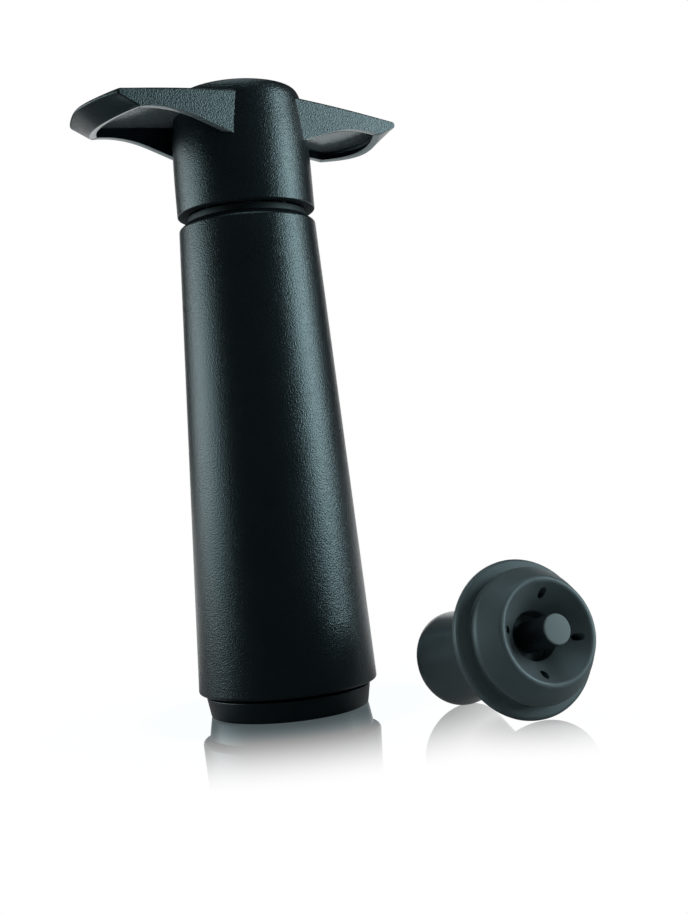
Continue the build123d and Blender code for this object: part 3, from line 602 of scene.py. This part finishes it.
def wingSkin(mesh, size, top):
    # a grid laid over the roof and the nose, with its two sides drawn down to the arch
    roofRows, roundRows, faceRows = size["roofRows"], size["roundRows"], size["faceRows"]
    sideRows, edgeRows = size["sideRows"], size["edgeRows"]
    rows = roofRows + roundRows + faceRows
    columns = sideRows + 2 * edgeRows
    half, edge = size["halfWidth"], size["edgeRounding"]
    flanks = {-1: [], 1: []}
    grid = bmesh.ops.create_grid(mesh, x_segments=rows, y_segments=columns, size=0.5)
    for vert in grid["verts"]:
        row = round((vert.co.x + 0.5) * rows)
        column = round((vert.co.y + 0.5) * columns)
        if row <= roofRows:
            along = row / roofRows
        elif row <= roofRows + roundRows:
            along = 1 + (row - roofRows) / roundRows
        else:
            along = 2 + (row - roofRows - roundRows) / faceRows
        fromEdge = min(column, columns - column)
        angle = max(0.0, 1 - fromEdge / edgeRows) * math.pi / 2
        y = half - edge * (1 - math.sin(angle))
        if fromEdge > edgeRows:
            y = (half - edge) * (1 - (fromEdge - edgeRows) / (sideRows / 2))
        side = -1 if column < columns / 2 else 1
        x, drop, outX, outZ, sink = wingPoint(size, along, y)
        sink *= 1 - math.cos(angle)
        vert.co = (x - outX * sink, side * y, top - drop - outZ * sink)
        if fromEdge == 0:
            flanks[side].append((row, vert, Vector((-outX, 0, -outZ))))
    for flank in flanks.values():
        # a narrow band keeps the side wall's light flat, and one face fills the rest of it
        flank.sort(key=lambda entry: entry[0])
        chain = [vert for row, vert, inward in flank]
        inwards = {tuple(vert.co): inward for row, vert, inward in flank}
        rim = chain[-1].co.copy()
        lines = [mesh.edges.get(pair) for pair in zip(chain, chain[1:])]
        fresh = bmesh.ops.extrude_edge_only(mesh, edges=lines)["geom"]
        loop = [item for item in fresh if isinstance(item, bmesh.types.BMEdge)]
        for vert in [item for item in fresh if isinstance(item, bmesh.types.BMVert)]:
            if (vert.co - rim).length < touching:
                vert.co.x -= size["bandWidth"]
                vert.co.z = top - archDrop(size, vert.co.x)
                last = vert
            else:
                inward = inwards[tuple(vert.co)]
                if (vert.co - chain[0].co).length < touching:
                    inward = Vector((0, 0, -1))
                    first = vert
                vert.co += inward * size["bandWidth"]
        startX, endX = last.co.x, chain[0].co.x
        for step in range(size["archSteps"]):
            grown = bmesh.ops.extrude_vert_indiv(mesh, verts=[last])
            last = grown["verts"][0]
            last.co.x = startX + (endX - startX) * (step + 1) / size["archSteps"]
            last.co.z = top - archDrop(size, last.co.x)
            loop += grown["edges"]
        loop.append(mesh.edges.new((last, first)))
        bmesh.ops.contextual_create(mesh, geom=loop)


def makeWings(size, top):
    mesh = bmesh.new()
    wingSkin(mesh, size, top)
    # the face's wall is measured across it, so the inner one is set back further along X
    inner = dict(size, halfWidth=size["halfWidth"] - size["wall"],
                 noseAt=size["noseAt"] - size["noseWall"] * math.hypot(1, size["lean"]),
                 rootDrop=size["rootDrop"] + size["roof"], noseRounding=size["innerRounding"],
                 cornerRounding=size["innerRounding"])
    wingSkin(mesh, inner, top)
    # the open lines on the root's radius are joined to each other, and so are the rim's
    onRoot, offRoot = size["rootRadius"] + 0.05, size["rootRadius"] + 0.5
    openLines = [line for line in mesh.edges if line.is_boundary]
    rootLines = [line for line in openLines
                 if max(vert.co.xy.length for vert in line.verts) < onRoot]
    rimLines = [line for line in openLines if line not in rootLines]
    rim = set(bmesh.ops.bridge_loops(mesh, edges=rimLines)["faces"])
    bmesh.ops.bridge_loops(mesh, edges=rootLines)
    bmesh.ops.recalc_face_normals(mesh, faces=mesh.faces[:])
    lips = {line for face in rim for line in face.edges
            if not all(near in rim for near in line.link_faces)
            and min(vert.co.xy.length for vert in line.verts) > offRoot}
    bmesh.ops.bevel(mesh, geom=list(lips), offset=size["rimRounding"], offset_type="OFFSET",
                    segments=3, profile=0.5, affect="EDGES", material=-1, clamp_overlap=True)
    copy = bmesh.ops.duplicate(mesh, geom=mesh.verts[:] + mesh.edges[:] + mesh.faces[:])["geom"]
    bmesh.ops.rotate(mesh, cent=(0, 0, 0), matrix=Matrix.Rotation(math.pi, 3, "Z"),
                     verts=[item for item in copy if isinstance(item, bmesh.types.BMVert)])
    return toObject(mesh, "wings")


handleShell = makeStem(handle)
combine(handleShell, makeWings(wing, handle["top"]), "UNION")
dress(handleShell, "handle_shell", "handle", sharpAngle=26, flatArea=20.0)
print("handle made")

# Floor, backdrop and light
studio = {
    "heading": 54.504, "floorSize": 12.0, "backdropDistance": 3.0, "backdropShare": 0.42,
    "ambient": 0.06, "aimHeight": 0.09, "floorGrey": (0.85, 0.85, 0.85, 1),
    "mirrorFrom": 0.020, "mirrorTo": 0.085, "mirrorLoss": 0.09, "mirror": (0.99, 1, 1, 1),
    "paintedReflectionTint": (0.60, 0.90, 1.0), "tintFade": 3.5,
    "stopperSpot": (0.0235, -0.068, 0.0), "stopperReach": 0.045,
    "sideFrom": -0.80, "sideTo": -0.25, "frontGlow": 0.04, "sideGlow": 0.22,
    "backFrom": 0.60, "backTo": 0.90}
lamps = {
    "leftBox": {
        "turn": 84, "away": 0.9, "rise": 0.12, "width": 0.76, "height": 0.72, "power": 5.7},
    "rightBox": {
        "turn": -95, "away": 0.9, "rise": 0.19, "width": 0.46, "height": 0.86, "power": 8.6},
    "topBox": {
        "turn": 180, "away": 0.15, "rise": 1.1, "width": 0.8, "height": 0.8, "power": 3.0}}
heading = math.radians(studio["heading"])
black, white = (0, 0, 0), (1, 1, 1)


def makeFloor(size):
    # a white sheet that mirrors what stands on it, and the mirror fades out around the feet
    paper = newFinish("paleFloor")
    place = paper.place()
    far = paper.measure("LENGTH", place)
    past = paper.measure("DISTANCE", place, size["stopperSpot"])
    near = far.maths("MINIMUM", far, past + size["stopperReach"])
    fade = paper.ramp(near, size["mirrorFrom"], size["mirrorTo"], size["mirrorLoss"], 1.0,
                      "SMOOTHSTEP")
    # near the feet the sheet's white glow is tinted cool, a painted reflection tint
    sheen = paper.node("ShaderNodeEmission", {}, {
        "Color": paper.between(fade * size["tintFade"], size["paintedReflectionTint"], white)})
    mirror = paper.node("ShaderNodeBsdfGlossy", {}, {
        "Color": size["mirror"], "Roughness": 0.0})
    shown = paper.node("ShaderNodeMixShader", {}, {0: fade, 1: mirror, 2: sheen})
    # what the pump's gloss finds in the floor is a painted glow: white behind the pump, darker
    # before it
    behind = paper.measure("DOT_PRODUCT", place, (math.cos(heading), math.sin(heading), 0)) / far
    beside = paper.ramp(behind, size["sideFrom"], size["sideTo"], size["frontGlow"],
                        size["sideGlow"], "SMOOTHSTEP")
    beyond = paper.ramp(behind, size["backFrom"], size["backTo"], 0.0, 1 - size["sideGlow"],
                        "SMOOTHSTEP")
    glow = paper.node("ShaderNodeEmission", {}, {
        "Color": paper.between(beside + beyond, black, white)})
    grey = paper.node("ShaderNodeBsdfDiffuse", {}, {"Color": size["floorGrey"]})
    glossy = paper.node("ShaderNodeLightPath", output="Is Glossy Ray")
    others = paper.node("ShaderNodeMixShader", {}, {0: glossy, 1: grey, 2: glow})
    seen = paper.node("ShaderNodeLightPath", output="Is Camera Ray")
    paper.node("ShaderNodeOutputMaterial", {}, {
        "Surface": paper.node("ShaderNodeMixShader", {}, {0: seen, 1: others, 2: shown})})
    mesh = bmesh.new()
    bmesh.ops.create_grid(mesh, x_segments=1, y_segments=1, size=size["floorSize"] / mm / 2)
    floor = toObject(mesh, "floor")
    floor.data.materials.append(paper.owner)
    return floor


def makeBackdrop(size):
    screen = newFinish("backdrop")
    camera = screen.node("ShaderNodeLightPath", output="Is Camera Ray")
    glossy = screen.node("ShaderNodeLightPath", output="Is Glossy Ray")
    glow = screen.node("ShaderNodeEmission", {}, {
        "Color": screen.between(camera + glossy, black, white)})
    screen.node("ShaderNodeOutputMaterial", {}, {"Surface": glow})
    distance = size["backdropDistance"]
    mesh = bmesh.new()
    bmesh.ops.create_grid(mesh, x_segments=1, y_segments=1,
                          size=distance / mm * size["backdropShare"])
    upright = Matrix.Rotation(heading, 4, "Z") @ Matrix.Rotation(math.pi / 2, 4, "Y")
    reach = Vector((math.cos(heading), math.sin(heading), 0)) * distance
    backdrop = toObject(mesh, "backdrop", Matrix.Translation(reach) @ upright)
    backdrop.data.materials.append(screen.owner)
    return backdrop


def makeLamp(name, size):
    light = bpy.data.lights.new(name, "AREA")
    light.shape = "RECTANGLE"
    light.size = size["width"]
    light.size_y = size["height"]
    light.energy = size["power"]
    lamp = bpy.data.objects.new(name, light)
    scene.collection.objects.link(lamp)
    turn = heading + math.radians(size["turn"])
    lamp.location = (math.cos(turn) * size["away"], math.sin(turn) * size["away"], size["rise"])
    aim = Vector((0, 0, studio["aimHeight"])) - lamp.location
    lamp.rotation_euler = aim.to_track_quat("-Z", "Y").to_euler()


def makeWorld(size):
    world = Finish(bpy.data.worlds.new("studioWorld"))
    # white where it is seen straight or in the floor's sharp mirror
    seen = world.node("ShaderNodeLightPath", output="Is Camera Ray") + world.node(
        "ShaderNodeLightPath", output="Is Singular Ray")
    dim, bright = (world.node("ShaderNodeBackground", {}, {
        "Strength": strength, "Color": (1, 1, 1, 1)}) for strength in (size["ambient"], 1.0))
    world.node("ShaderNodeOutputWorld", {}, {
        "Surface": world.node("ShaderNodeMixShader", {}, {0: seen, 1: dim, 2: bright})})
    return world.owner


scene.world = makeWorld(studio)
makeFloor(studio)
makeBackdrop(studio)
for name, lampSize in lamps.items():
    makeLamp(name, lampSize)

# Camera at the photograph's viewing angle
view = {
    "place": (-0.16400, -0.26307, 0.05474), "heading": 54.504, "rise": 1.345, "roll": -5.193,
    "lens": 47.966, "sensorHeight": 36, "nearest": 0.01}
cameraData = bpy.data.cameras.new("camera")
cameraData.sensor_fit = "VERTICAL"
cameraData.sensor_height = view["sensorHeight"]
cameraData.lens = view["lens"]
cameraData.clip_start = view["nearest"]
camera = bpy.data.objects.new("camera", cameraData)
scene.collection.objects.link(camera)
pan = Matrix.Rotation(math.radians(view["heading"] - 90), 4, "Z")
tilt = Matrix.Rotation(math.radians(90 + view["rise"]), 4, "X")
roll = Matrix.Rotation(math.radians(view["roll"]), 4, "Z")
camera.matrix_world = Matrix.Translation(view["place"]) @ pan @ tilt @ roll
scene.camera = camera
scene.view_settings.view_transform = "Standard"
print("studio and camera ready")
